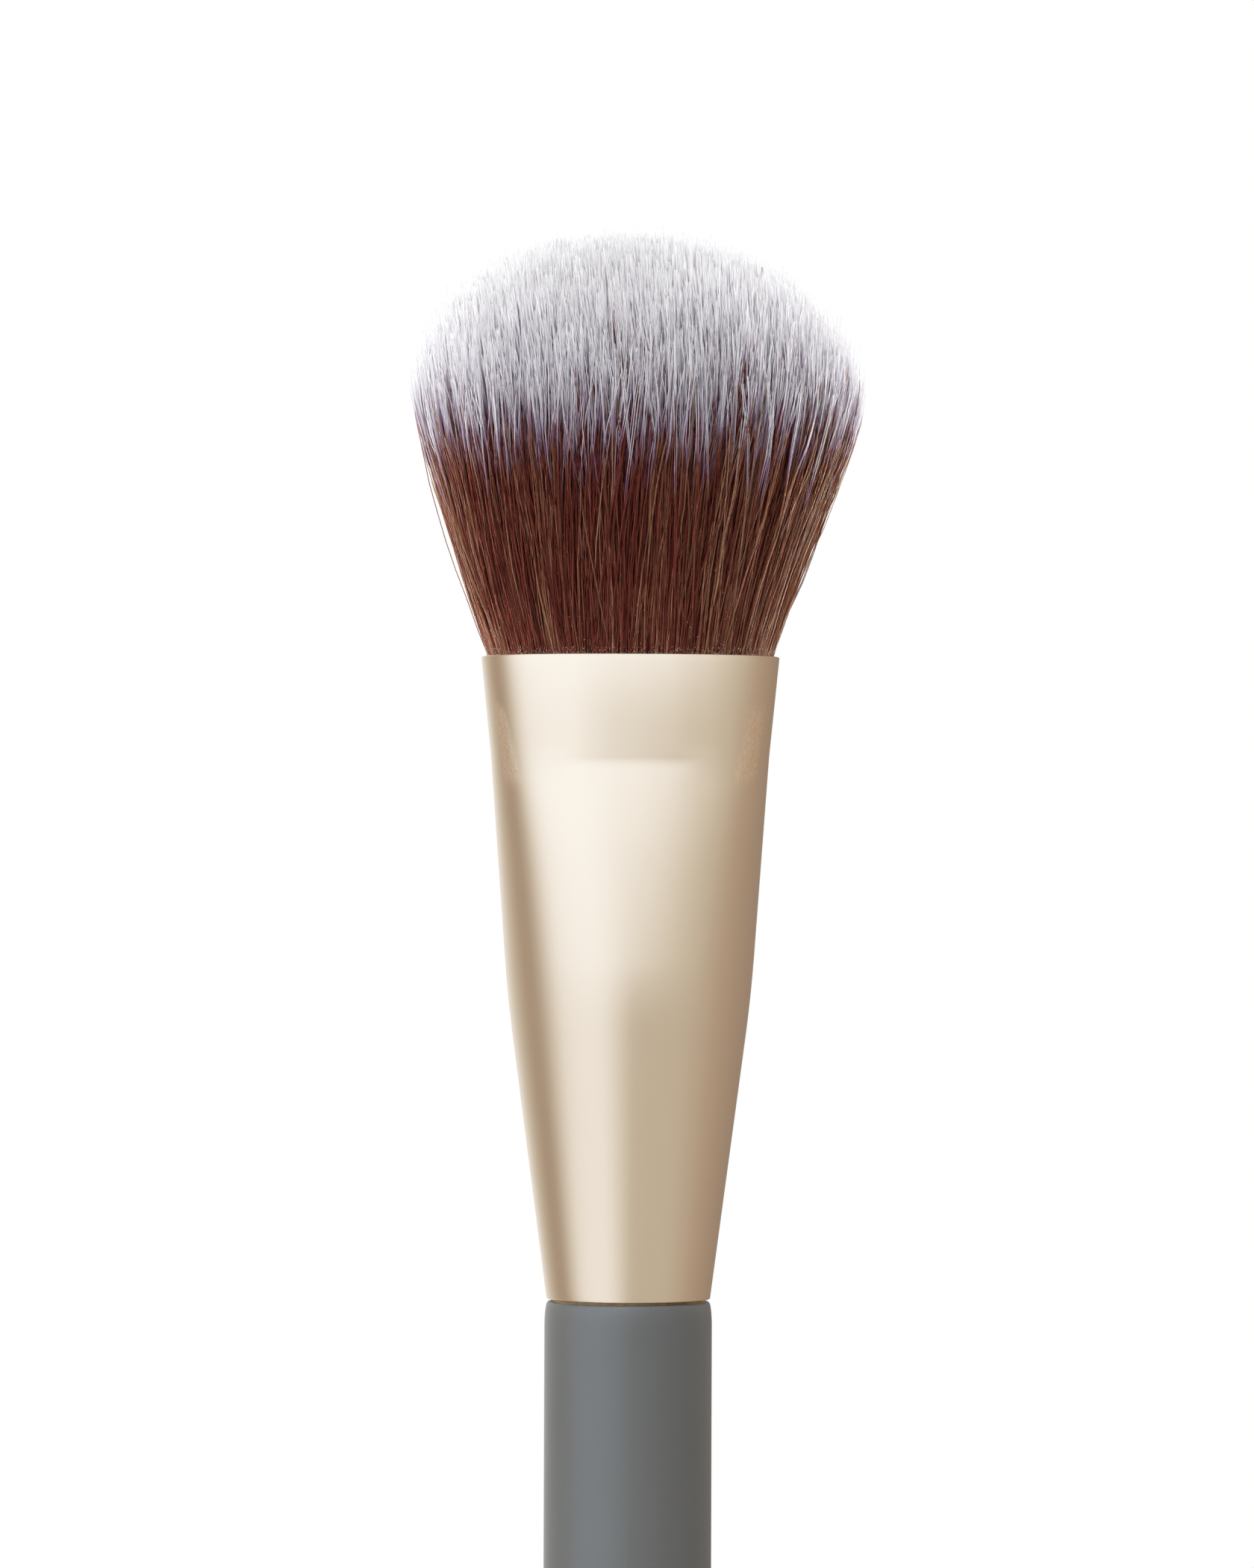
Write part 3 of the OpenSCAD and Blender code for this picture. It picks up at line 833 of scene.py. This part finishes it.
# the map stays inside the strand's strip, with a little width for each of its three sides
map_u = kept("strip") + (kept("corner") - 1.0) * (0.3 / strips)
map_v = 1.0 - kept("dye") - 0.002 * (1.0 - bench.size(kept("corner") - 1.0))
map_place = bench.add("ShaderNodeCombineXYZ", X=map_u, Y=map_v)["Vector"]
skin = store(skin, "OFBake", map_place, "FLOAT2", "CORNER")
skin = bench.add("GeometryNodeRealizeInstances", Geometry=skin)["Geometry"]
skin = bench.add("GeometryNodeSetMaterial", Geometry=skin, Material=given["Material"])["Geometry"]
bench.add("NodeGroupOutput", Geometry=skin)


def run_tree(name, tree, inputs):
    """Runs a Geometry Nodes tree with its inputs by name, and keeps the result as a plain mesh."""
    seed_mesh = bpy.data.meshes.new(name)
    holder = bpy.data.objects.new(name, seed_mesh)
    bpy.context.scene.collection.objects.link(holder)
    modifier = holder.modifiers.new("made", "NODES")
    modifier.node_group = tree
    for socket in tree.interface.items_tree:
        if socket.item_type == "SOCKET" and socket.in_out == "INPUT" and socket.name in inputs:
            modifier[socket.identifier] = inputs[socket.name]
    view = bpy.context.evaluated_depsgraph_get()
    mesh = bpy.data.meshes.new_from_object(holder.evaluated_get(view), depsgraph=view)
    holder.modifiers.clear()
    holder.data = mesh
    mesh.name = name
    bpy.data.meshes.remove(seed_mesh)
    for extra in ("dye", "thick", "strip", "corner", "tilt", "radius", "sharp_edge"):
        if extra in mesh.attributes:
            mesh.attributes.remove(mesh.attributes[extra])
    mesh.polygons.foreach_set("use_smooth", [True] * len(mesh.polygons))
    mesh.update()
    return holder


# how many strands each shell has, and how many points each of them has, from the middle out
shells = ((6500, 5), (6000, 6), (4500, 8), (3500, 10))
shells += ((2850, 12), (2850, 12), (2800, 12), (2800, 12))
first = 0
for i, (count, points) in enumerate(shells):
    inputs = {"First": first, "Count": count, "Points": points, "Stray": 0.0, "Material": fibre}
    shell = run_tree(f"bristles_{i + 1}", grow, inputs)
    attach(shell, "root")
    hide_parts("bristle_tuft")
    first += count

# the outermost strands once more, looser
first = strand_total - stray_total
inputs = {"First": first, "Count": stray_total, "Points": 12, "Stray": 0.28, "Material": fibre}
stray = run_tree("stray_hairs", grow, inputs)
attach(stray, "root")
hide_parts("bristle_tuft")

# Glue crumbs
# Dried specks of the resin and of trimmed fibre that stay on the outermost bristles, most of
# them right at the metal's edge.
crumb, bench = paint("dry_glue_specks")
grains = clouds(bench, (9000.0, 9000.0, 9000.0), 2.0)
coat(
    bench,
    Base_Color=bench.blend(bench.rise(grains, 0.35, 0.65), (0.50, 0.28, 0.16), (0.90, 0.70, 0.52)),
    Roughness=0.45 + 0.2 * grains,
)
scatter, bench, given = new_tree(
    "scatter_crumbs", Count="Int", Low="Float", High="Float", Grain="Float", Material="Material"
)
crumb_out = 0.065  # how far a speck's middle stands out from the tuft's nominal outline
number = bench.add("GeometryNodeInputIndex")["Index"]
angle = chance(1, number, 0.0, 2 * math.pi)
height = given["Low"] + (given["High"] - given["Low"]) * chance(2, number) ** 2.0
half_w = root_w + (tuft_w / 2 - root_w) / flare_h * height + crumb_out
half_d = root_d + (tuft_d / 2 - root_d) / flare_h * height + crumb_out
power = 2.3 - 0.3 * height / flare_h
tuft_lean = 0.62 * bench.rise(height, 3.0, 20.0)
x = squared(bench.math("COSINE", angle), power) * half_w + tuft_lean
y = squared(bench.math("SINE", angle), power) * half_d
spot = spot_at(x, y, height)
points = bench.add("GeometryNodePoints", Count=given["Count"], Position=spot)["Points"]
size = bench.add(
    "ShaderNodeCombineXYZ",
    X=chance(4, number, 0.5, 1.3),
    Y=chance(5, number, 0.5, 1.3),
    Z=chance(6, number, 0.5, 1.6),
)["Vector"]
grain = bench.add("GeometryNodeMeshIcoSphere", Radius=given["Grain"] * MM, Subdivisions=1)["Mesh"]
crumbs = bench.add(
    "GeometryNodeInstanceOnPoints", Points=points, Instance=grain, Scale=size
)["Instances"]
crumbs = bench.add("GeometryNodeRealizeInstances", Geometry=crumbs)["Geometry"]
crumbs = bench.add(
    "GeometryNodeSetMaterial", Geometry=crumbs, Material=given["Material"]
)["Geometry"]
bench.add("NodeGroupOutput", Geometry=crumbs)
for name, count, low, high, grain_r in (
    ("mouth_crumbs", 1900, 0.03, 0.5, 0.023),
    ("loose_specks", 520, 0.4, 14.0, 0.027),
):
    inputs = {"Count": count, "Low": low, "High": high, "Grain": grain_r, "Material": crumb}
    specks = run_tree(name, scatter, inputs)
    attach(specks, "root")
    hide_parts("bristle_tuft")

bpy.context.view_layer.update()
